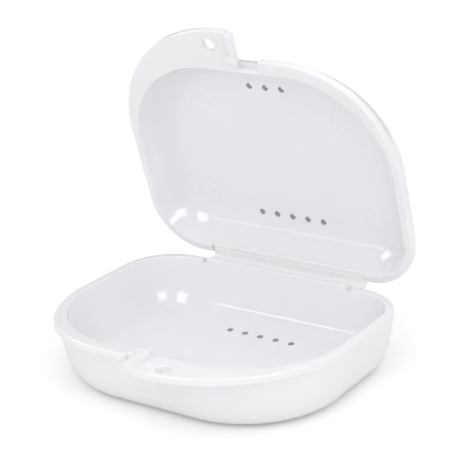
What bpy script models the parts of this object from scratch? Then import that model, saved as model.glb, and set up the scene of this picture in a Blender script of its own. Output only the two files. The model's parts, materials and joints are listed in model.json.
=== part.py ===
# Dental appliance box: a shallow oval tray and a lid, moulded in one piece of
# white polypropylene and joined by a living hinge along the back.
# Lengths are in metres. X runs along the hinge, Y runs from the front to the
# hinge, Z runs up. The origin is the middle of the flat face the box rests on.

import math

import bmesh
import bpy
from mathutils import Matrix, Vector

# Outline of the case, seen from above
case_width = 0.0808
case_depth = 0.0624
front_corner_radius = 0.0289
rear_corner_radius = 0.0148
rim_wall = 0.0022

# Base tray
base_height = 0.0166
base_floor = 0.0012
base_draft = 0.0022
base_round = 0.0096

# Lid
lid_height = 0.0098
lid_top = 0.0011
lid_draft = 0.0033
lid_round = 0.0074

# Flange and pull tabs round the rim
flange_thickness = 0.0020
flange_reach = 0.0015
base_tab_reach = 0.0074
lid_tab_reach = 0.0091
base_tab_straight = 0.0036
lid_tab_straight = 0.0056
tab_hole_diameter = 0.0036
tab_hole_from_edge = 0.0042
tab_hole_from_middle = 0.0086

# Latch tongues: the inner end of each tab steps over to the other half
latch_middle = 0.00025
tongue_step = 0.0019
tongue_flat = 0.0016
tongue_slope = 0.0014
tongue_proud = 0.0004
base_notch_width = 0.0055
lid_notch_width = 0.0047
base_block_width = 0.0037
base_block_depth = 0.0023
base_block_height = 0.0021
base_block_side = 0.0016
base_block_front = 0.0010
lid_block_depth = 0.0019
lid_block_height = 0.0021

# Living hinge
hinge_back = 0.0017
hinge_drop = 0.0016
hinge_pocket = 0.0013
strip_thickness = 0.0010
strip_bead = 0.0006
strip_bend = 0.0015
rail_length = 0.0440
rail_rise = 0.0006
rail_seat = 0.0005
rail_foot = 0.0014

# Vents
vent_diameter = 0.0016
vent_spacing = 0.0048
base_vent_from_back = 0.0100
lid_vent_from_back = 0.0104
lid_vent_from_front = 0.0115
rear_vents = 5
front_vents = 3

# Fits
gap = 0.0003
sliding_gap = 0.0004
overrun = 0.0010

# The lid in the photographed pose
opening_angle = math.radians(72.0)

# Counts, angles and exponents of the curves
lip_start = 15.0
lip_fade = 40.0
front_corner_steps = 14
rear_corner_steps = 10
profile_steps = 11
base_power = 4.2
lid_power = 3.2
round_steps = 24
bend_steps = 8

half_width = case_width / 2
half_depth = case_depth / 2
lid_rim = base_height + gap
axis_y = half_depth + hinge_back
axis_z = base_height - hinge_drop
hinge_length = rail_length + 2 * hinge_pocket


def clear_scene():
    for item in list(bpy.data.objects):
        bpy.data.objects.remove(item, do_unlink=True)


def new_collection(name):
    made = bpy.data.collections.new(name)
    bpy.context.scene.collection.children.link(made)
    return made


def plastic(name, colour, roughness):
    made = bpy.data.materials.new(name)
    made.use_nodes = True
    shader = made.node_tree.nodes["Principled BSDF"]
    shader.inputs["Base Color"].default_value = (*colour, 1.0)
    shader.inputs["Roughness"].default_value = roughness
    shader.inputs["Metallic"].default_value = 0.0
    return made


# Points of a round stretch, from one angle to another
def arc(centre_x, centre_y, radius, start, end, steps):
    points = []
    for step in range(steps + 1):
        angle = math.radians(start + (end - start) * step / steps)
        points.append((centre_x + radius * math.cos(angle), centre_y + radius * math.sin(angle)))
    return points


# The rim outline drawn in by an inset: wide round corners in front, tighter ones at the back
def rim_outline(inset):
    wide = half_width - inset
    deep = half_depth - inset
    front = front_corner_radius - inset
    rear = rear_corner_radius - inset
    points = arc(wide - front, front - deep, front, -90, 0, front_corner_steps)
    points += arc(wide - rear, deep - rear, rear, 0, 90, rear_corner_steps)
    points += arc(rear - wide, deep - rear, rear, 90, 180, rear_corner_steps)
    points += arc(front - wide, front - deep, front, 180, 270, front_corner_steps)
    return points


# A wall from the rim to the floor: drafted, then turned in by a squarish quarter round
def wall_rings(start, depth, direction, edge, draft, turn, power):
    rings = []
    for step in range(profile_steps + 1):
        angle = math.pi / 2 * step / profile_steps
        down = math.sin(angle) ** (2 / power)
        inset = edge + draft * down + turn * (1 - max(math.cos(angle), 0.0) ** (2 / power))
        rings.append((inset, start + direction * depth * down))
    return rings


def finish_mesh(name, mesh, group, moving):
    if moving:
        mesh.transform(Matrix.Translation(Vector((0, -axis_y, -axis_z))))
    made = bpy.data.objects.new(name, mesh)
    group.objects.link(made)
    if moving:
        made.parent = bpy.data.objects["lid_hinge_axis"]
    return made


# A closed skin through rings of equal point counts, capped at both ends
def loft(name, rings, group, moving):
    shape = bmesh.new()
    loops = []
    for inset, height in rings:
        loops.append([shape.verts.new((x, y, height)) for x, y in rim_outline(inset)])
    count = len(loops[0])
    for lower, upper in zip(loops, loops[1:]):
        for index in range(count):
            after = (index + 1) % count
            shape.faces.new((lower[index], lower[after], upper[after], upper[index]))
    shape.faces.new(loops[0])
    shape.faces.new(loops[-1])
    bmesh.ops.recalc_face_normals(shape, faces=shape.faces)
    mesh = bpy.data.meshes.new(name)
    shape.to_mesh(mesh)
    shape.free()
    return finish_mesh(name, mesh, group, moving)


# A flat outline given a thickness: lying flat, or standing along X or Y
def slab(name, outline, start, end, along, group, moving):
    curve = bpy.data.curves.new(name, "CURVE")
    curve.dimensions = "2D"
    curve.fill_mode = "BOTH"
    curve.extrude = (end - start) / 2
    spline = curve.splines.new("POLY")
    spline.points.add(len(outline) - 1)
    for point, (x, y) in zip(spline.points, outline):
        point.co = (x, y, 0, 1)
    spline.use_cyclic_u = True
    drawn = bpy.data.objects.new(name, curve)
    group.objects.link(drawn)
    bpy.context.view_layer.update()
    evaluated = drawn.evaluated_get(bpy.context.evaluated_depsgraph_get())
    mesh = bpy.data.meshes.new_from_object(evaluated)
    bpy.data.objects.remove(drawn, do_unlink=True)
    mesh.transform(Matrix.Translation(Vector((0, 0, (start + end) / 2))))
    turns = {
        "Z": Matrix.Identity(4),
        "X": Matrix(((0, 0, 1, 0), (1, 0, 0, 0), (0, 1, 0, 0), (0, 0, 0, 1))),
        "Y": Matrix(((1, 0, 0, 0), (0, 0, 1, 0), (0, 1, 0, 0), (0, 0, 0, 1))),
    }
    mesh.transform(turns[along])
    shape = bmesh.new()
    shape.from_mesh(mesh)
    bmesh.ops.remove_doubles(shape, verts=shape.verts, dist=gap / round_steps)
    bmesh.ops.recalc_face_normals(shape, faces=shape.faces)
    shape.to_mesh(mesh)
    shape.free()
    mesh.name = name
    return finish_mesh(name, mesh, group, moving)


def block(name, low, high, group, moving):
    shape = bmesh.new()
    bmesh.ops.create_cube(shape, size=1)
    size = Vector(high) - Vector(low)
    middle = (Vector(high) + Vector(low)) / 2
    bmesh.ops.scale(shape, vec=size, verts=shape.verts)
    bmesh.ops.translate(shape, vec=middle, verts=shape.verts)
    mesh = bpy.data.meshes.new(name)
    shape.to_mesh(mesh)
    shape.free()
    return finish_mesh(name, mesh, group, moving)


def rod(name, diameter, x, y, bottom, top, group, moving):
    shape = bmesh.new()
    bmesh.ops.create_cone(
        shape, cap_ends=True, segments=round_steps, radius1=diameter / 2,
        radius2=diameter / 2, depth=top - bottom,
    )
    bmesh.ops.translate(shape, vec=Vector((x, y, (bottom + top) / 2)), verts=shape.verts)
    mesh = bpy.data.meshes.new(name)
    shape.to_mesh(mesh)
    shape.free()
    return finish_mesh(name, mesh, group, moving)


def combine(target, tool, operation):
    tool.hide_render = True
    tool.display_type = "WIRE"
    change = target.modifiers.new(tool.name, "BOOLEAN")
    change.operation = operation
    change.solver = "EXACT"
    change.object = tool


# The cuts made final, then round faces shaded smooth and corners kept crisp
def dress(item, material):
    bpy.context.view_layer.update()
    evaluated = item.evaluated_get(bpy.context.evaluated_depsgraph_get())
    finished = bpy.data.meshes.new_from_object(evaluated)
    item.modifiers.clear()
    item.data = finished
    finished.name = item.name
    finished.materials.clear()
    finished.materials.append(material)
    finished.shade_smooth()
    finished.set_sharp_from_angle(angle=math.radians(35))


# The flange plate: a pull tab on the +X side, and a lip that fades out along the -X side.
# Side is -1 for the lid's mirrored one.
def flange_outline(tab_reach, tab_straight, side, notch_start, notch_end):
    front = -half_depth
    corner = front_corner_radius - half_width
    tab_radius = half_width - tab_straight
    tab_front = front - tab_reach
    inside = front + rim_wall / 2
    points = [(notch_end, inside), (notch_end, tab_front)]
    points += arc(tab_straight, tab_front + tab_radius, tab_radius, -90, 0, 2 * front_corner_steps)
    points += [(half_width - rim_wall, tab_front + tab_radius)]
    points += [(rim_wall - half_width, front + front_corner_radius)]
    for step in range(2 * front_corner_steps + 1):
        turned = 90 * step / (2 * front_corner_steps)
        share = min(max(turned - lip_start, 0.0) / lip_fade, 1.0)
        reach = flange_reach * share * share * (3 - 2 * share)
        angle = math.radians(180 + turned)
        radius = front_corner_radius + reach
        x = corner + radius * math.cos(angle)
        points.append((x, front + front_corner_radius + radius * math.sin(angle)))
    points += [(notch_start, front - flange_reach), (notch_start, inside)]
    if side < 0:
        points = [(-x, y) for x, y in reversed(points)]
    return points


# Side view of a tongue: a flat end, one step away from the tab's face, and the slope back to it
def tongue_outline(face, side, level, rise):
    flat = face + side * tongue_flat
    foot = flat + side * tongue_slope
    top = level + rise * tongue_step
    under = rise * flange_thickness
    return [
        (face, top), (flat, top), (foot, level),
        (foot, level - under), (flat, top - under), (face, top - under),
    ]


def build_base(group, cutters, material):
    level = base_height
    foot = latch_middle + gap / 2 + tongue_flat + tongue_slope
    notch_end = foot + gap
    notch_start = latch_middle - base_notch_width

    outer = [(0, level), (0, level - flange_thickness)]
    outer += wall_rings(level - flange_thickness, level - flange_thickness, -1, 0,
                        base_draft, base_round, base_power)[1:]
    tray = loft("base_tray", outer, group, False)

    plate = slab("base_flange_plate", flange_outline(base_tab_reach, base_tab_straight, 1, notch_start, notch_end),
                 level - flange_thickness, level, "Z", cutters, False)
    combine(tray, plate, "UNION")

    inner = [(rim_wall, level + overrun)]
    inner += wall_rings(level, level - base_floor, -1, rim_wall, base_draft, base_round, base_power)
    combine(tray, loft("base_cavity", inner, cutters, False), "DIFFERENCE")

    hole_y = tab_hole_from_edge - base_tab_reach - half_depth
    combine(tray, rod("base_tab_hole", tab_hole_diameter, tab_hole_from_middle, hole_y,
                      level - flange_thickness - overrun, level + overrun, cutters, False), "DIFFERENCE")

    for number in range(rear_vents):
        x = (number - (rear_vents - 1) / 2) * vent_spacing
        combine(tray, rod(f"base_vent_{number + 1}", vent_diameter, x, half_depth - base_vent_from_back,
                          -overrun, base_height / 2, cutters, False), "DIFFERENCE")

    slot_half = hinge_length / 2
    slot = block("base_hinge_slot", (-slot_half, half_depth - rim_wall - overrun, level - rail_seat - gap),
                 (slot_half, half_depth + overrun, level + overrun), cutters, False)
    combine(tray, slot, "DIFFERENCE")
    dress(tray, material)
    return tray


def build_base_tongue(group, cutters, material):
    face = latch_middle + gap / 2
    front = -half_depth - base_tab_reach - tongue_proud
    tongue = slab("base_latch_tongue", tongue_outline(face, 1, base_height, 1),
                  front, -half_depth - gap, "Y", group, False)
    left = face - base_block_side
    block_front = -half_depth - base_block_front
    head = block("base_latch_block", (left, block_front, base_height + gap),
                 (left + base_block_width, block_front + base_block_depth, base_height + base_block_height),
                 cutters, False)
    combine(tongue, head, "UNION")
    dress(tongue, material)
    return tongue


# The rail hooks over the back wall; its foot is hollowed round the flex line
def build_rail(group, material):
    level = base_height
    seat = strip_bead + gap
    back = half_depth
    foot_face = back + gap
    rear = axis_y - strip_thickness / 2 - gap
    lean = math.degrees(math.acos((axis_y - rear) / seat))
    foot_end = axis_z - rail_foot
    points = [(back - rim_wall, level - rail_seat), (back - rim_wall, level + rail_rise),
              (back - gap, level + rail_rise), (back - gap, level), (rear, level)]
    points += arc(axis_y, axis_z, seat, 180 - lean, 180 + lean, bend_steps)
    points += [(rear, foot_end), (foot_face, foot_end), (foot_face, level - rail_seat)]
    rail = slab("base_hinge_rail", points, -rail_length / 2, rail_length / 2, "X", group, False)
    dress(rail, material)
    return rail


def build_lid(group, cutters, material):
    level = lid_rim
    foot = latch_middle - gap / 2 - tongue_flat - tongue_slope
    notch_end = -(foot - gap)
    notch_start = -(latch_middle + lid_notch_width)

    outer = [(0, level), (0, level + flange_thickness)]
    outer += wall_rings(level + flange_thickness, lid_height - flange_thickness, 1, 0,
                        lid_draft, lid_round, lid_power)[1:]
    lid = loft("lid_tray", outer, group, True)

    plate = slab("lid_flange_plate", flange_outline(lid_tab_reach, lid_tab_straight, -1, notch_start, notch_end),
                 level, level + flange_thickness, "Z", cutters, True)
    combine(lid, plate, "UNION")

    inner = [(rim_wall, level - overrun)]
    inner += wall_rings(level, lid_height - lid_top, 1, rim_wall, lid_draft, lid_round, lid_power)
    combine(lid, loft("lid_cavity", inner, cutters, True), "DIFFERENCE")

    hole_y = tab_hole_from_edge - lid_tab_reach - half_depth
    combine(lid, rod("lid_tab_hole", tab_hole_diameter, -tab_hole_from_middle, hole_y,
                     level - overrun, level + flange_thickness + overrun, cutters, True), "DIFFERENCE")

    rows = [
        ("lid_rear_vent", rear_vents, half_depth - lid_vent_from_back),
        ("lid_front_vent", front_vents, lid_vent_from_front - half_depth),
    ]
    for name, count, y in rows:
        for number in range(count):
            x = (number - (count - 1) / 2) * vent_spacing
            combine(lid, rod(f"{name}_{number + 1}", vent_diameter, x, y, level + lid_height / 2,
                             level + lid_height + overrun, cutters, True), "DIFFERENCE")

    slot_half = hinge_length / 2 + gap
    slot_top = level + rail_rise + strip_thickness + gap
    slot = block("lid_hinge_slot", (-slot_half, half_depth - rim_wall - overrun, level - overrun),
                 (slot_half, half_depth + overrun, slot_top), cutters, True)
    combine(lid, slot, "DIFFERENCE")

    block_left = latch_middle + gap / 2 - base_block_side
    block_front = -half_depth - base_block_front
    pocket = block(
        "lid_latch_pocket",
        (block_left - sliding_gap, -half_depth - overrun, level - overrun),
        (block_left + base_block_width + sliding_gap, block_front + base_block_depth + sliding_gap,
         base_height + base_block_height + sliding_gap),
        cutters, True,
    )
    combine(lid, pocket, "DIFFERENCE")
    dress(lid, material)
    return lid


def build_lid_tongue(group, cutters, material):
    face = latch_middle - gap / 2
    back = -half_depth - base_block_front - gap
    front = -half_depth - lid_tab_reach - tongue_proud
    tongue = slab("lid_latch_tongue", tongue_outline(face, -1, lid_rim, -1),
                  front, back, "Y", group, True)
    head = block("lid_latch_block", (face - tongue_flat - tongue_slope, back - lid_block_depth,
                                     lid_rim - lid_block_height),
                 (face, back, lid_rim), cutters, True)
    combine(tongue, head, "UNION")
    dress(tongue, material)
    return tongue


# The strip: a leaf in the lid's slot, a bend round the back, and the bead on the flex line
def build_strip(group, cutters, material):
    under = lid_rim + rail_rise
    inner = strip_bend - strip_thickness / 2
    outer = strip_bend + strip_thickness / 2
    bend_y = axis_y - strip_bend
    bend_z = under - inner
    points = [(half_depth - rim_wall + gap, under)]
    points += arc(bend_y, bend_z, inner, 90, 0, bend_steps)
    points += [(axis_y - strip_thickness / 2, axis_z), (axis_y + strip_thickness / 2, axis_z)]
    points += arc(bend_y, bend_z, outer, 0, 90, bend_steps)
    points += [(half_depth - rim_wall + gap, under + strip_thickness)]
    half = hinge_length / 2
    strip = slab("hinge_strip", points, -half, half, "X", group, True)
    bead = slab("strip_bead_round", arc(axis_y, axis_z, strip_bead, 0, 360 - 360 / round_steps, round_steps - 1),
                -half, half, "X", cutters, True)
    combine(strip, bead, "UNION")
    dress(strip, material)
    return strip


def build_case():
    clear_scene()
    parts = new_collection("dental_appliance_box")
    cutters = new_collection("cutters")
    axis = bpy.data.objects.new("lid_hinge_axis", None)
    parts.objects.link(axis)
    axis.location = (0, axis_y, axis_z)
    axis.rotation_euler = (-opening_angle, 0, 0)
    bpy.context.view_layer.update()

    tray_white = (0.86, 0.87, 0.88)
    lid_white = (0.87, 0.88, 0.89)
    build_base(parts, cutters, plastic("base moulded polypropylene", tray_white, 0.28))
    build_base_tongue(parts, cutters, plastic("base tongue moulded polypropylene", tray_white, 0.28))
    build_rail(parts, plastic("rail moulded polypropylene", tray_white, 0.30))
    build_lid(parts, cutters, plastic("lid moulded polypropylene", lid_white, 0.26))
    build_lid_tongue(parts, cutters, plastic("lid tongue moulded polypropylene", lid_white, 0.26))
    build_strip(parts, cutters, plastic("flexing polypropylene strip", lid_white, 0.32))


build_case()
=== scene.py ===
import json
import math

import bmesh
import bpy
from mathutils import Matrix, Vector


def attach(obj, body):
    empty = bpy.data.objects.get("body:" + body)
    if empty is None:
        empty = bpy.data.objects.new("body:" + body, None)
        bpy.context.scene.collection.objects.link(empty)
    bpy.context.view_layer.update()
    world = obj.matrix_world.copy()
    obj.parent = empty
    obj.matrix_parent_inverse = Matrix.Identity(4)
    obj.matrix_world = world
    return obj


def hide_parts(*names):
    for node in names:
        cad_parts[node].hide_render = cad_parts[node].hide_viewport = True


# A dental appliance case of white polypropylene: a vented tray and a vented lid on a
# living hinge. Lengths are in millimetres until a piece is settled, and in metres after.
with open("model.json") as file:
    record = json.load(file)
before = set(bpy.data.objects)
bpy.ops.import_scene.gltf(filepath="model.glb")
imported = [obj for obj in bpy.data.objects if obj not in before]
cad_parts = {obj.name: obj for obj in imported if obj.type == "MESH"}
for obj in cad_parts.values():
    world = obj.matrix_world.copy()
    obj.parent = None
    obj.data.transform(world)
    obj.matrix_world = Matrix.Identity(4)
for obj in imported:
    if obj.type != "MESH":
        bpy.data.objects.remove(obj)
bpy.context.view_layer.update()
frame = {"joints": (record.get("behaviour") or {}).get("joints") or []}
mm = 0.001
print("frame loaded", flush=True)

hinge = frame["joints"][0]
axisY, axisZ = hinge["pos_m"][1] / mm, hinge["pos_m"][2] / mm
openAngle = -hinge["range_deg"][0]
rimGap = 0.3  # between the two rims when the case is shut
sharpAngle = 38  # an edge that turns by more stays crisp in the shading
easedAngle = 25  # an edge of a drawn-out solid that turns by more is rounded


def toLinear(hexColour):
    channels = [int(hexColour[i:i + 2], 16) / 255 for i in (1, 3, 5)]
    return [c / 12.92 if c <= 0.04045 else ((c + 0.055) / 1.055) ** 2.4 for c in channels] + [1.0]


def addNode(tree, kind, inputs=None, **settings):
    node = tree.nodes.new(kind)
    for key, value in settings.items():
        setattr(node, key, value)
    for key, value in (inputs or {}).items():
        if isinstance(value, bpy.types.NodeSocket):
            tree.links.new(value, node.inputs[key])
        else:
            node.inputs[key].default_value = value
    return node


# The rim's outline, seen from above, is shared by the tray and the lid. At the tab's end and
# at the lip's end the wall points are set aside, so that the flat faces between them don't cross.
outline = {
    "halfWidth": 40.4, "halfDepth": 31.2, "frontRadius": 28.9, "rearRadius": 14.8, "rim": 2.2,
    "edgeTop": 0.42, "edgeLow": 0.3, "edgeLowShare": 0.3, "edgeInner": 0.3,
    "tabStations": 84, "tabClear": 0.8, "tabFrontClear": 0.5,
    "tabEndAsides": ((0.0, 0.5), (0.1, 0.62), (0.5, 0.68), (1.0, 0.74)),
    "lipFrom": 15, "lipOver": 40, "lipCorner": 0.5, "lipLast": 1.0, "lipFoot": 0.45,
    "lipAsides": ((30, 0.95), (60, 0.9), (90, 0.85)),
    "wallSteps": 30, "undersideShares": (0.02, 0.05, 0.5), "rimShares": (0.8, 0.35, 0.32),
    "firstInnerStep": 3, "firstInnerDepth": 0.6, "mergeWithin": 0.0005,
}


# Stations round the rim, from the tab's end to the notch: a wall point, its normal, a flange point
def rimStations(s):
    o = outline
    w, d, frontR, rearR = o["halfWidth"], o["halfDepth"], o["frontRadius"], o["rearRadius"]
    tabFront = -d - s["tabReach"]
    tabR = w - s["tabStart"]
    tabY = tabFront + tabR
    down = (0.0, -1.0)
    rows = []

    def add(p, n, f=None):
        rows.append([p, n, f or p])

    def straight(near, far, n, count):
        for i in range(1, count):
            add((near[0] + (far[0] - near[0]) * i / count, near[1] + (far[1] - near[1]) * i / count), n)

    def corner(x, y, radius, first, count):
        for i in range(count + 1):
            a = math.radians(first + 90 * i / count)
            n = (math.cos(a), math.sin(a))
            yield 90 * i / count, (x + radius * n[0], y + radius * n[1]), n

    # The tab ends inside the latch tongue
    start, startFront = s["footRoot"] - s["bite"], s["footFront"] - s["bite"]
    for share, aside in o["tabEndAsides"]:
        add((start + aside, -d), down, (start + (startFront - start) * share, -d + (tabFront + d) * share))

    # Along the tab's long curve to the side
    lineEnd = w - frontR
    lineLength = lineEnd - start
    whole = lineLength + frontR * math.pi / 2
    for i in range(1, o["tabStations"] + 1):
        along = i / o["tabStations"] * whole
        if along < lineLength:
            p, n = (start + along, -d), down
            if p[0] < max(start + o["tabClear"], startFront + o["tabFrontClear"]):
                continue
            if p[0] < s["tabStart"]:
                add(p, n, (p[0], tabFront))
                continue
        else:
            a = -math.pi / 2 + (along - lineLength) / frontR
            n = (math.cos(a), math.sin(a))
            p = (lineEnd + frontR * n[0], -d + frontR + frontR * n[1])
        ox, oy = p[0] - s["tabStart"], p[1] - tabY
        toward = ox * n[0] + oy * n[1]
        out = max(math.sqrt(max(toward * toward - ox * ox - oy * oy + tabR * tabR, 0.0)) - toward, 0.0)
        add(p, n, (p[0] + out * n[0], p[1] + out * n[1]))

    # Round the back, with no flange
    sideStart, sideEnd = -d + frontR, d - rearR
    straight((w, sideStart), (w, sideEnd), (1.0, 0.0), 7)
    for turned, p, n in corner(w - rearR, d - rearR, rearR, 0, 24):
        add(p, n)
    straight((w - rearR, d), (rearR - w, d), (0.0, 1.0), 12)
    for turned, p, n in corner(rearR - w, d - rearR, rearR, 90, 24):
        add(p, n)
    straight((-w, sideEnd), (-w, sideStart), (-1.0, 0.0), 7)

    # The lip grows out of the left corner and runs to the notch
    reach, stop = s["lipReach"], s["notchStart"]
    for turned, p, n in corner(frontR - w, -d + frontR, frontR, 180, 48):
        share = min(max((turned - o["lipFrom"]) / o["lipOver"], 0.0), 1.0)
        grown = reach * share * share * (3 - 2 * share)
        add(p, n, (p[0] + grown * n[0], p[1] + grown * n[1]))
    for i in range(1, 5):
        x = frontR - w + (stop - o["lipLast"] - frontR + w) * i / 4
        add((x, -d), down, (x, -d - reach))
    for turn, aside in o["lipAsides"]:
        a, r = math.radians(turn), o["lipCorner"]
        add((stop - aside, -d), down, (stop - r + r * math.sin(a), -d - reach + r - r * math.cos(a)))
    add((stop - o["lipFoot"], -d), down, (stop, -d))
    straight((stop, -d), (start, -d), down, 4)
    return rows


# How far each outline point moves so that both of its sides move in by one, and twice that at most
def mitres(points):
    found = []
    touching = 1e-6
    count = len(points)
    for i in range(count):
        j = i
        while math.dist(points[(j - 1) % count], points[i]) < touching:
            j -= 1
        k = i
        while math.dist(points[(k + 1) % count], points[i]) < touching:
            k += 1
        a, b, c = points[(j - 1) % count], points[i], points[(k + 1) % count]
        d0 = Vector((b[0] - a[0], b[1] - a[1])).normalized()
        d1 = Vector((c[0] - b[0], c[1] - b[1])).normalized()
        n0, n1 = Vector((d0.y, -d0.x)), Vector((d1.y, -d1.x))
        m = n0 + n1
        m = n0 if m.length < touching else m.normalized()
        found.append(m / max(m.dot(n0), 0.5))
    return found


# One moulded half: rings run from under the floor, up the outside, over the rim and down the inside
def buildShell(s):
    o = outline
    rows = rimStations(s)
    walls, normals, flanges = zip(*rows)
    moves = mitres(flanges)
    reach = [math.dist(wall, flange) for wall, flange in zip(walls, flanges)]
    count = len(rows)
    rings = []

    def wallPoint(i, inset, z):
        return (walls[i][0] - inset * normals[i][0], walls[i][1] - inset * normals[i][1], z)

    def wallCurve(step):
        a = math.pi / 2 * step / o["wallSteps"]
        down = math.sin(a) ** (2 / s["power"])
        return down, s["draft"] * down + s["turn"] * (1 - max(math.cos(a), 0.0) ** (2 / s["power"]))

    def edgePoint(i, back, z):
        return (flanges[i][0] - back * moves[i].x, flanges[i][1] - back * moves[i].y, z)

    def between(near, far, share, z):
        return (near[0] + (far[0] - near[0]) * share, near[1] + (far[1] - near[1]) * share, z)

    under = -s["flange"]
    for step in range(o["wallSteps"], -1, -1):
        down, inset = wallCurve(step)
        rings.append([wallPoint(i, inset, under - (s["height"] - s["flange"]) * down) for i in range(count)])

    # Out under the flange, round its low edge and its top edge, and back over the rim
    low = [min(o["edgeLow"], r * o["edgeLowShare"]) for r in reach]
    for share in o["undersideShares"]:
        rings.append([between(walls[i], edgePoint(i, low[i], under), share, under) for i in range(count)])
    for k in range(4):
        a = math.pi / 2 * k / 3
        rings.append([edgePoint(i, low[i] * (1 - math.sin(a)), under + low[i] * (1 - math.cos(a)))
                      for i in range(count)])
    r = o["edgeTop"]
    for k in range(6):
        a = math.pi / 2 * k / 5
        rings.append([edgePoint(i, r * (1 - math.cos(a)), -r * (1 - math.sin(a))) for i in range(count)])
    inner = [wallPoint(i, o["rim"] - o["edgeInner"], 0.0) for i in range(count)]
    for share in o["rimShares"]:
        rings.append([between(inner[i], edgePoint(i, r, 0.0), share, 0.0) for i in range(count)])
    r = o["edgeInner"]
    for k in range(5):
        a = math.pi / 2 * k / 4
        rings.append([wallPoint(i, o["rim"] - r * (1 - math.sin(a)), -r * (1 - math.cos(a)))
                      for i in range(count)])
    innerDepth = s["height"] - s["floor"]
    for step in range(o["firstInnerStep"], o["wallSteps"] + 1):
        down, inset = wallCurve(step)
        if innerDepth * down > o["firstInnerDepth"]:
            rings.append([wallPoint(i, o["rim"] + inset, -innerDepth * down) for i in range(count)])

    shape = bmesh.new()
    loops = [[shape.verts.new(p) for p in ring] for ring in rings]
    for lower, upper in zip(loops, loops[1:]):
        for i in range(count):
            j = (i + 1) % count
            shape.faces.new((lower[i], lower[j], upper[j], upper[i]))
    shape.faces.new(loops[0])
    shape.faces.new(loops[-1])
    bmesh.ops.remove_doubles(shape, verts=shape.verts, dist=o["mergeWithin"])
    bmesh.ops.dissolve_degenerate(shape, edges=shape.edges, dist=o["mergeWithin"])
    bmesh.ops.recalc_face_normals(shape, faces=shape.faces)
    return shape


def shapeToObject(name, shape):
    mesh = bpy.data.meshes.new(name)
    shape.to_mesh(mesh)
    shape.free()
    made = bpy.data.objects.new(name, mesh)
    bpy.context.scene.collection.objects.link(made)
    return made


# A rounded box between two corners
def softBox(name, low, high, edge=0, segments=3):
    shape = bmesh.new()
    bmesh.ops.create_cube(shape, size=1)
    bmesh.ops.scale(shape, vec=Vector(high) - Vector(low), verts=shape.verts)
    bmesh.ops.translate(shape, vec=(Vector(low) + Vector(high)) / 2, verts=shape.verts)
    if edge:
        bmesh.ops.bevel(shape, geom=shape.edges[:], offset=edge, segments=segments, profile=0.5,
                        affect="EDGES")
    return shapeToObject(name, shape)


# A solid of revolution about a vertical line, from its (radius, height) profile
def turnedShape(name, profile, x=0.0, y=0.0, count=40):
    shape = bmesh.new()
    loops = []
    for r, z in profile:
        loops.append([shape.verts.new((x + r * math.cos(2 * math.pi * i / count),
                                       y + r * math.sin(2 * math.pi * i / count), z)) for i in range(count)])
    for lower, upper in zip(loops, loops[1:]):
        for i in range(count):
            j = (i + 1) % count
            shape.faces.new((lower[i], lower[j], upper[j], upper[i]))
    shape.faces.new(list(reversed(loops[0])))
    shape.faces.new(loops[-1])
    bmesh.ops.recalc_face_normals(shape, faces=shape.faces)
    return shapeToObject(name, shape)


# A ring: a closed (radius, height) outline carried round a vertical line
def ringShape(name, section, count=72):
    shape = bmesh.new()
    loops = []
    for i in range(count):
        a = 2 * math.pi * i / count
        loops.append([shape.verts.new((r * math.cos(a), r * math.sin(a), z)) for r, z in section])
    size = len(section)
    for i in range(count):
        near, far = loops[i], loops[(i + 1) % count]
        for k in range(size):
            m = (k + 1) % size
            shape.faces.new((near[k], far[k], far[m], near[m]))
    bmesh.ops.recalc_face_normals(shape, faces=shape.faces)
    return shapeToObject(name, shape)


# The profile of a hole that a tapered pin leaves in a plate, its mouth eased at both faces
def holeProfile(low, high, lowRadius, highRadius, soft, past=0.6):
    mouth, bend, bendDepth = soft * 1.6, soft * 0.3, soft * 0.35
    return [(lowRadius + mouth, low - past), (lowRadius + soft, low), (lowRadius + bend, low + bendDepth),
            (lowRadius, low + soft), (highRadius, high - soft), (highRadius + bend, high - bendDepth),
            (highRadius + soft, high), (highRadius + mouth, high + past)]


# A closed outline drawn out from one end to the other, its sharp edges eased
def drawnOut(name, ends, edge=0):
    shape = bmesh.new()
    first, last = [[shape.verts.new(p) for p in end] for end in ends]
    count = len(first)
    for i in range(count):
        j = (i + 1) % count
        shape.faces.new((first[i], first[j], last[j], last[i]))
    shape.faces.new(list(reversed(first)))
    shape.faces.new(last)
    bmesh.ops.recalc_face_normals(shape, faces=shape.faces)
    if edge:
        sharp = [e for e in shape.edges if e.calc_face_angle(0.0) > math.radians(easedAngle)]
        bmesh.ops.bevel(shape, geom=sharp, offset=edge, segments=4, profile=0.5, affect="EDGES",
                        clamp_overlap=True)
    return shapeToObject(name, shape)


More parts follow.
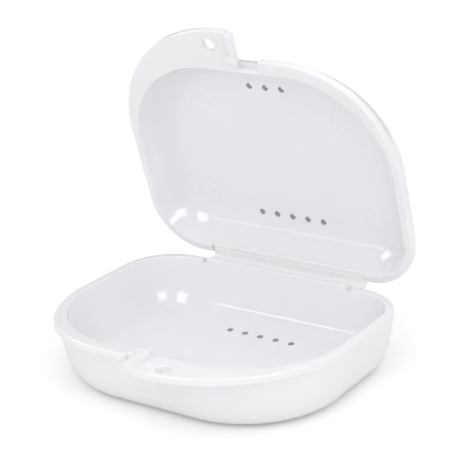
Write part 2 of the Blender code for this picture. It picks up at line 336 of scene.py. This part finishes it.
# Geometry Nodes: one moulding feature repeated along a straight row, centred on the row's middle
def rowTree():
    tree = bpy.data.node_groups.new("featureRow", "GeometryNodeTree")
    wanted = {
        "Feature": "Object", "Count": "Int", "Spacing": "Float", "Middle": "Vector", "Material": "Material"}
    for label, kind in wanted.items():
        tree.interface.new_socket(label, in_out="INPUT", socket_type="NodeSocket" + kind)
    tree.interface.new_socket("Geometry", in_out="OUTPUT", socket_type="NodeSocketGeometry")
    given = addNode(tree, "NodeGroupInput").outputs
    gaps = addNode(tree, "ShaderNodeMath", {0: given["Count"], 1: -1.0}, operation="ADD")
    length = addNode(tree, "ShaderNodeMath", {0: gaps.outputs[0], 1: given["Spacing"]}, operation="MULTIPLY")
    half = addNode(tree, "ShaderNodeMath", {0: length.outputs[0], 1: -0.5}, operation="MULTIPLY")
    back = addNode(tree, "ShaderNodeCombineXYZ", {"X": half.outputs[0]})
    start = addNode(tree, "ShaderNodeVectorMath", {0: back.outputs[0], 1: given["Middle"]}, operation="ADD")
    step = addNode(tree, "ShaderNodeCombineXYZ", {"X": given["Spacing"]})
    line = addNode(tree, "GeometryNodeMeshLine", {
        "Count": given["Count"], "Start Location": start.outputs[0], "Offset": step.outputs[0]})
    feature = addNode(tree, "GeometryNodeObjectInfo", {"Object": given["Feature"]})
    copies = addNode(tree, "GeometryNodeInstanceOnPoints", {
        "Points": line.outputs["Mesh"], "Instance": feature.outputs["Geometry"]})
    solid = addNode(tree, "GeometryNodeRealizeInstances", {"Geometry": copies.outputs[0]})
    dressed = addNode(tree, "GeometryNodeSetMaterial", {
        "Geometry": solid.outputs[0], "Material": given["Material"]})
    addNode(tree, "NodeGroupOutput", {"Geometry": dressed.outputs[0]})
    return tree


featureRow = rowTree()
print("feature row tree made", flush=True)


# Keeps the plain mesh that the object's modifiers give
def keepResult(item):
    bpy.context.view_layer.update()
    settled = bpy.data.meshes.new_from_object(item.evaluated_get(bpy.context.evaluated_depsgraph_get()))
    item.modifiers.clear()
    item.data = settled
    return item


def repeatRow(name, feature, count, spacing, middle, material):
    made = shapeToObject(name, bmesh.new())
    change = made.modifiers.new("row", "NODES")
    change.node_group = featureRow
    values = {"Feature": feature, "Count": count, "Spacing": spacing, "Middle": middle, "Material": material}
    for item in featureRow.interface.items_tree:
        if item.in_out == "INPUT":
            change[item.identifier] = values[item.name]
    return keepResult(made)


# Cuts the given solids from the target, or unites them with it
def combine(target, others, operation):
    for other in others:
        change = target.modifiers.new(other.name, "BOOLEAN")
        change.operation, change.solver, change.object = operation, "MANIFOLD", other
        change.material_mode = "TRANSFER"
    keepResult(target)
    for other in others:
        bpy.data.objects.remove(other)


# Final place in metres; the lid half is turned over, set on the tray, and opened on its axis
def settle(item, onLid):
    place = Matrix.Translation((0, 0, traySettings["height"]))
    if onLid:
        over = Matrix.Rotation(math.pi, 4, "Y")
        seat = Matrix.Translation((0, 0, traySettings["height"] + rimGap))
        axis = Matrix.Translation((0, axisY, axisZ))
        turn = Matrix.Rotation(math.radians(-openAngle), 4, "X")
        place = axis @ turn @ axis.inverted() @ seat @ over
    item.data.transform(Matrix.Scale(mm, 4) @ place)
    item.data.shade_smooth()
    item.data.set_sharp_from_angle(angle=math.radians(sharpAngle))
    weighted = item.modifiers.new("evenShading", "WEIGHTED_NORMAL")
    weighted.weight = 60
    weighted.keep_sharp = True


# The latch has the same form on both halves. Its tongue is the tab's thickness, stepped up
# by a short slope and carried a little past the tab's edge.
latchShape = {
    "edge": 0.26, "sink": 0.02, "dipShare": 0.25, "sideLow": -1.5, "cornerLow": -1.8, "corner": 0.15,
    "underGap": 0.05, "cutPast": 1,
}


def latchTongue(name, s):
    t = latchShape
    tabFront = -outline["halfDepth"] - s["tabReach"]
    face, crease, under = s["faceX"], s["faceX"] + s["flat"], s["step"] - s["flange"]
    ends = []
    for y, edge, foot in ((tabFront - s["proud"], tabFront + t["sink"], s["footFront"]),
                          (s["tongueEnd"], s["tongueEnd"], s["footRoot"])):
        deep = foot + (foot - crease) * t["dipShare"]
        ends.append([(face, y, s["step"]), (crease, y, s["step"]), (deep, edge, -t["dipShare"] * s["step"]),
                     (deep, edge, t["sideLow"]), (foot - t["corner"], edge, t["cornerLow"]),
                     (crease, y, under), (face, y, under)])
    return drawnOut(name, ends, t["edge"])


# What the step leaves open below the tongue
def latchUnder(name, s):
    t = latchShape
    tabFront = -outline["halfDepth"] - s["tabReach"]
    left, crease, low = s["faceX"] - t["cutPast"], s["faceX"] + s["flat"], -s["flange"] - t["cutPast"]
    under, foot = s["step"] - s["flange"] + t["underGap"], -s["flange"] + t["underGap"]
    ends = []
    for y, x in ((tabFront - t["cutPast"], s["footFront"]),
                 (-outline["halfDepth"] - t["underGap"], s["footRoot"])):
        ends.append([(left, y, under), (crease, y, under), (x, y, foot), (x, y, low), (left, y, low)])
    return drawnOut(name, ends)


# The cutters for the round hole through a pull tab, and for a row of vents
def tabHole(name, s):
    y = -outline["halfDepth"] - s["tabReach"] + s["holeFromEdge"]
    profile = holeProfile(-s["flange"], 0.0, s["holeRadius"], s["holeRadius"], s["holeSoft"])
    return turnedShape(name, profile, s["holeX"], y)


def ventRows(name, s):
    profile = holeProfile(-s["height"], -s["height"] + s["floor"],
                          s["ventRadius"] - s["ventTaper"], s["ventRadius"], s["ventSoft"])
    pin = turnedShape(name + "Pin", profile)
    # the vent cutters carry the grey vent-wall plastic, painted shade, onto the holes' walls
    rows = [repeatRow(f"{name}{count}", pin, count, s["ventSpacing"], (0, y, 0), ventWallShadePlastic)
            for count, y in s["vents"]]
    bpy.data.objects.remove(pin)
    return rows


# Polypropylene, injection moulded against a polished mould: a bright gloss with crisp window
# reflections, slightly translucent, and with the faint flow and scuff variation of a moulding
plasticSettings = {
    "tone": "#F4F4F6", "deep": "#EEEFF1", "roughness": 0.03, "sharper": 0.01, "duller": 0.03,
    "flowMm": 18.0, "grainMm": 0.5, "grainDepthMm": 0.02, "grainStrength": 0.01,
    "ior": 1.49, "translucent": 0.15, "glowMm": 1.2,
}
# The vents' walls are matt, and their grey tone is painted shade: it stands in for the shade that falls deep
# in the narrow holes
ventShadeSettings = {**plasticSettings, "tone": "#B4B6BA", "deep": "#AAACB0", "roughness": 0.5}
# The thin hinge leaf's tone is painted lighter than the walls: painted light that makes up for the shade it
# sits in by the tray's rear wall, so it looks as bright as the walls
leafPaintedLightTones = {**plasticSettings, "tone": "#FCFCFD", "deep": "#F8F8FA"}


def mouldedPolypropylene(name, s):
    made = bpy.data.materials.new(name)
    made.use_nodes = True
    tree = made.node_tree
    shader = tree.nodes["Principled BSDF"]
    where = addNode(tree, "ShaderNodeTexCoord")
    flow = addNode(tree, "ShaderNodeTexNoise", {
        "Vector": where.outputs["Object"], "Scale": 1 / (s["flowMm"] * mm), "Detail": 3.0, "Roughness": 0.55})
    tint = addNode(tree, "ShaderNodeMix", {"Factor": flow.outputs["Fac"]}, data_type="RGBA")
    tint.inputs["A"].default_value = toLinear(s["tone"])
    tint.inputs["B"].default_value = toLinear(s["deep"])
    tree.links.new(tint.outputs["Result"], shader.inputs["Base Color"])
    gloss = addNode(tree, "ShaderNodeMapRange", {
        "Value": flow.outputs["Fac"], "From Min": 0.3, "From Max": 0.7,
        "To Min": s["roughness"] - s["sharper"], "To Max": s["roughness"] + s["duller"]})
    tree.links.new(gloss.outputs["Result"], shader.inputs["Roughness"])
    grain = addNode(tree, "ShaderNodeTexNoise", {
        "Vector": where.outputs["Object"], "Scale": 1 / (s["grainMm"] * mm), "Detail": 2.0, "Roughness": 0.5})
    relief = addNode(tree, "ShaderNodeBump", {
        "Height": grain.outputs["Fac"], "Strength": s["grainStrength"], "Distance": s["grainDepthMm"] * mm})
    tree.links.new(relief.outputs["Normal"], shader.inputs["Normal"])
    shader.inputs["IOR"].default_value = s["ior"]
    shader.inputs["Subsurface Weight"].default_value = s["translucent"]
    shader.inputs["Subsurface Radius"].default_value = (1.0, 1.0, 1.0)
    shader.inputs["Subsurface Scale"].default_value = s["glowMm"] * mm
    return made


trayPlastic = mouldedPolypropylene("injection moulded gloss polypropylene, tray", plasticSettings)
lidPlastic = mouldedPolypropylene("injection moulded gloss polypropylene, lid", plasticSettings)
# the vent walls' grey tone is painted shade
ventWallShadePlastic = mouldedPolypropylene("polypropylene with painted shade, vent walls", ventShadeSettings)
leafPaintedLightPlastic = mouldedPolypropylene("hinge polypropylene, painted lighter", leafPaintedLightTones)
print("materials made", flush=True)

# Tray: the lower half, with five vents, the latch, and the rail that carries the flex line.
# A solid is given by two opposite corners and the radius of its edges.
traySettings = {
    "height": 16.6, "floor": 1.2, "draft": 2.2, "turn": 9.6, "power": 4.2,
    "flange": 2.0, "lipReach": 1.5, "tabReach": 7.4, "tabStart": 3.6,
    "notchStart": -3.85, "faceX": 0.76, "flat": 1.5, "footRoot": 2.85, "footFront": 4.1, "bite": 0.5,
    "tongueEnd": -31.0, "step": 1.9, "proud": 0.4,
    "holeX": 8.9, "holeFromEdge": 4.2, "holeRadius": 1.8, "holeSoft": 0.4,
    "vents": ((5, 21.2),),
    "ventSpacing": 4.8, "ventRadius": 0.8, "ventTaper": 0.28, "ventSoft": 0.06,
    "slot": ((-23.3, 28.0, -0.8), (23.3, 32.4, 1.0)),
    "block": ((-0.84, -32.2, -0.4), (2.86, -29.9, 1.95), 0.32),
    "rail": ((-22.0, 28.9, -1.6), (22.0, 30.9, 0.6), 0.4, 4),
    "ledge": ((-22.0, 30.4, -3.0), (22.0, 32.1, -0.1), 0.25),
}


def makeTray(s):
    tray = shapeToObject("trayMoulding", buildShell(s))
    tray.data.materials.append(trayPlastic)
    slot = softBox("trayHingeSlot", *s["slot"])
    cuts = ventRows("trayVents", s) + [tabHole("trayTabHole", s), slot, latchUnder("trayLatchUnder", s)]
    combine(tray, cuts, "DIFFERENCE")
    block, rail, ledge = [softBox(name, *s[name]) for name in ("block", "rail", "ledge")]
    combine(tray, [block, latchTongue("trayTongue", s), rail, ledge], "UNION")
    settle(tray, False)
    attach(tray, "base")
    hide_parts("base_tray", "base_latch_tongue", "base_hinge_rail")


makeTray(traySettings)
print("tray made", flush=True)

# Lid, drawn the way up that the tray is, and turned over when it is settled. Each pair of
# rings is given by its spacing and its distance from the middle.
lidSettings = {
    "height": 9.8, "floor": 1.1, "draft": 3.3, "turn": 7.4, "power": 3.2,
    "flange": 2.0, "lipReach": 1.5, "tabReach": 9.1, "tabStart": 5.6,
    "notchStart": -5.4, "faceX": -0.46, "flat": 1.6, "footRoot": 2.9, "footFront": 2.5, "bite": 0.8,
    "tongueEnd": -32.7, "step": 1.9, "proud": 0.4,
    "holeX": 8.1, "holeFromEdge": 4.3, "holeRadius": 1.8, "holeSoft": 0.4,
    "vents": ((5, 20.8), (3, -19.7)),
    "ventSpacing": 4.8, "ventRadius": 0.8, "ventTaper": 0.28, "ventSoft": 0.06,
    "slot": ((-24.68, 28.0, -1.1), (23.18, 32.4, 1.0)),
    "pocket": ((-5.1, -32.6, -2.2), (1.24, -29.5, 1.0)),
    "block": ((-0.46, -34.3, -0.4), (2.75, -32.45, 2.1), 0.32),
    "rings": ((42.8, -13.0), (51.8, 17.4)), "ringRadius": 3.1, "ringWidth": 0.22, "ringHeight": 0.09,
    "ringRoot": 0.2,
}


# The moulding pins' witness rings: a round band left a little proud of the inner face
def ejectorRings(s):
    r, w, floorZ = s["ringRadius"], s["ringWidth"], -s["height"] + s["floor"]
    top, root = floorZ + s["ringHeight"], floorZ - s["ringRoot"]
    band = [(r - w, root), (r - w, floorZ), (r - w * 0.5, top),
            (r + w * 0.5, top), (r + w, floorZ), (r + w, root)]
    mark = ringShape("ejectorMark", band)
    rings = [repeatRow(f"ejectorMarks{i}", mark, 2, spacing, (0, y, 0), lidPlastic)
             for i, (spacing, y) in enumerate(s["rings"])]
    bpy.data.objects.remove(mark)
    return rings


def makeLid(s):
    lid = shapeToObject("lidMoulding", buildShell(s))
    lid.data.materials.append(lidPlastic)
    slot, pocket = softBox("lidHingeSlot", *s["slot"]), softBox("lidLatchPocket", *s["pocket"])
    cuts = ventRows("lidVents", s) + [tabHole("lidTabHole", s), slot, pocket, latchUnder("lidLatchUnder", s)]
    combine(lid, cuts, "DIFFERENCE")
    combine(lid, [softBox("lidBlock", *s["block"]), latchTongue("lidTongue", s)] + ejectorRings(s), "UNION")
    settle(lid, True)
    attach(lid, "lid")
    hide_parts("lid_tray", "lid_latch_tongue")


makeLid(lidSettings)
print("lid made", flush=True)

# Hinge leaf: a plate in the lid's slot, bent round the tray's back to the bead on the flex
# line, with a low step along its face
leafSettings = {
    "gap": 0.08, "front": 28.8, "face": -0.6, "thick": 1.0, "bend": 1.5, "edge": 0.28,
    "bead": 0.6, "beadStartInset": 1.3, "beadEndInset": 0.4, "beadEdge": 0.2,
    "stepFront": 30.3, "stepTop": -0.42, "stepRoot": -1.3, "stepBack": 0.8, "stepEdge": 0.14,
}


def makeLeaf(s):
    start, end = lidSettings["slot"][0][0] + s["gap"], lidSettings["slot"][1][0] - s["gap"]
    half = s["thick"] / 2
    flexZ = traySettings["height"] + rimGap - axisZ
    innerR, outerR = s["bend"] - half, s["bend"] + half
    bendY, bendZ = axisY - s["bend"], s["face"] + innerR

    def bent(radius, turns):
        return [(bendY + radius * math.sin(math.radians(a)), bendZ - radius * math.cos(math.radians(a)))
                for a in turns]

    quarter = [90 * i / 12 for i in range(13)]
    section = [(s["front"], s["face"])] + bent(innerR, quarter)
    section += [(axisY - half, flexZ), (axisY + half, flexZ)] + bent(outerR, quarter[::-1])
    section += [(s["front"], s["face"] - s["thick"])]
    leaf = drawnOut("hingeLeaf", [[(x, y, z) for y, z in section] for x in (start, end)], s["edge"])
    around = [2 * math.pi * i / 24 for i in range(24)]
    circle = [(axisY + s["bead"] * math.cos(a), flexZ + s["bead"] * math.sin(a)) for a in around]
    beadEnds = (start + s["beadStartInset"], end - s["beadEndInset"])
    bead = drawnOut("leafBead", [[(x, y, z) for y, z in circle] for x in beadEnds], s["beadEdge"])
    step = softBox("leafStep", (start + s["edge"], s["stepFront"], s["stepRoot"]),
                   (end - s["edge"], axisY - s["stepBack"], s["stepTop"]), s["stepEdge"])
    # the leaf takes the lighter plastic, its painted light
    leaf.data.materials.append(leafPaintedLightPlastic)
    combine(leaf, [bead, step], "UNION")
    settle(leaf, True)
    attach(leaf, "lid")
    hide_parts("hinge_strip")


makeLeaf(leafSettings)
print("hinge leaf made", flush=True)

# Floor: white backdrop paper, dull and even, so that only the soft shadow under the case shows
floorSettings = {"size": 3.0, "below": 0.00005, "tone": "#F7F7F7", "roughness": 0.9, "lift": 0.15}


def makeFloor(s):
    shape = bmesh.new()
    bmesh.ops.create_grid(shape, x_segments=1, y_segments=1, size=s["size"])
    floor = shapeToObject("floor", shape)
    floor.location = (0, 0, -s["below"])
    paper = bpy.data.materials.new("white backdrop paper")
    paper.use_nodes = True
    tree = paper.node_tree
    shader = tree.nodes["Principled BSDF"]
    shader.inputs["Base Color"].default_value = toLinear(s["tone"])
    shader.inputs["Roughness"].default_value = s["roughness"]
    shader.inputs["Specular IOR Level"].default_value = 0.0
    # the camera sees it a little brighter than it lights the case
    path = addNode(tree, "ShaderNodeLightPath")
    seen = path.outputs["Is Camera Ray"]
    lift = addNode(tree, "ShaderNodeMath", {0: seen, 1: s["lift"]}, operation="MULTIPLY")
    tree.links.new(lift.outputs[0], shader.inputs["Emission Strength"])
    shader.inputs["Emission Color"].default_value = (1, 1, 1, 1)
    floor.data.materials.append(paper)


makeFloor(floorSettings)

# Room: a bright side and a dimmer side for the gloss to show, and pure white for the camera
roomSettings = {
    "brightSide": (0.35, -0.60, 0.72), "from": -0.5, "to": 0.75, "dim": 0.30, "bright": 1.07,
    "tint": (0.994, 0.997, 1.0, 1),
}


def makeRoom(s):
    world = bpy.data.worlds.new("studio")
    bpy.context.scene.world = world
    world.use_nodes = True
    tree = world.node_tree
    tree.nodes.clear()
    path = addNode(tree, "ShaderNodeLightPath")
    seen = addNode(tree, "ShaderNodeBackground", {"Color": (1, 1, 1, 1), "Strength": 1.0})
    where = addNode(tree, "ShaderNodeTexCoord")
    toward = addNode(tree, "ShaderNodeVectorMath", {
        0: where.outputs["Generated"], 1: s["brightSide"]}, operation="DOT_PRODUCT")
    glow = addNode(tree, "ShaderNodeMapRange", {
        "Value": toward.outputs["Value"], "From Min": s["from"], "From Max": s["to"],
        "To Min": s["dim"], "To Max": s["bright"]})
    room = addNode(tree, "ShaderNodeBackground", {"Color": s["tint"], "Strength": glow.outputs["Result"]})
    mix = addNode(tree, "ShaderNodeMixShader", {
        0: path.outputs["Is Camera Ray"], 1: room.outputs[0], 2: seen.outputs[0]})
    addNode(tree, "ShaderNodeOutputWorld", {"Surface": mix.outputs[0]})


makeRoom(roomSettings)

# A soft top light and a front light, and the window cards that the glossy corners of the
# photograph show. A card is seen in the gloss and lights nothing else. Turn and rise are in
# degrees round the case, and sizes are in metres.
lampSettings = {
    "away": 0.8, "aim": (0, 0.01, 0.02),
    "boxes": (
        {"name": "topBox", "turn": 60, "rise": 75, "width": 1.00, "height": 1.00, "watts": 1.0},
        {"name": "frontBox", "turn": -62, "rise": 42, "width": 0.80, "height": 0.80, "watts": 0.3}),
    "cards": (
        {"name": "lowStrip", "turn": -120, "rise": 16, "width": 0.50, "height": 0.04, "watts": 0.32},
        {"name": "rightCard", "turn": -28, "rise": 21, "width": 0.36, "height": 0.30, "watts": 1.7},
        {"name": "leftCard", "turn": -93, "rise": 26, "width": 0.42, "height": 0.46, "watts": 3.0},
        {"name": "farLeftCard", "turn": -158, "rise": 26, "width": 0.36, "height": 0.34, "watts": 1.8}),
}


def placeLamp(s, lightsTheCase):
    data = bpy.data.lights.new(s["name"], "AREA")
    data.shape, data.size, data.size_y, data.energy = "RECTANGLE", s["width"], s["height"], s["watts"]
    lamp = bpy.data.objects.new(s["name"], data)
    bpy.context.scene.collection.objects.link(lamp)
    turn, rise = math.radians(s["turn"]), math.radians(s["rise"])
    away = Vector((math.cos(turn) * math.cos(rise), math.sin(turn) * math.cos(rise), math.sin(rise)))
    lamp.location = Vector(lampSettings["aim"]) + lampSettings["away"] * away
    lamp.rotation_euler = away.to_track_quat("Z", "Y").to_euler()
    lamp.visible_diffuse = lightsTheCase


for box in lampSettings["boxes"]:
    placeLamp(box, True)
for card in lampSettings["cards"]:
    placeLamp(card, False)

# Camera, fitted to the photograph: its place, the directions of its axes, and its focal
# length in the photograph's pixels
cameraSettings = {
    "at": (0.192533, -0.278170, 0.157719),
    "right": (0.836118, 0.547562, -0.032902),
    "up": (-0.156841, 0.296107, 0.942190),
    "back": (0.525650, -0.782621, 0.333461),
    "focalPixels": 1450, "photoPixels": 460, "sensorMm": 36,
}


def placeCamera(s):
    data = bpy.data.cameras.new("camera")
    camera = bpy.data.objects.new("camera", data)
    bpy.context.scene.collection.objects.link(camera)
    data.lens, data.sensor_width = s["focalPixels"] * s["sensorMm"] / s["photoPixels"], s["sensorMm"]
    data.clip_start, data.clip_end = 0.01, 20
    facing = Matrix((s["right"], s["up"], s["back"])).transposed().to_4x4()
    camera.matrix_world = Matrix.Translation(s["at"]) @ facing
    bpy.context.scene.camera = camera


placeCamera(cameraSettings)
bpy.context.scene.view_settings.view_transform = "Standard"
print("stage set", flush=True)
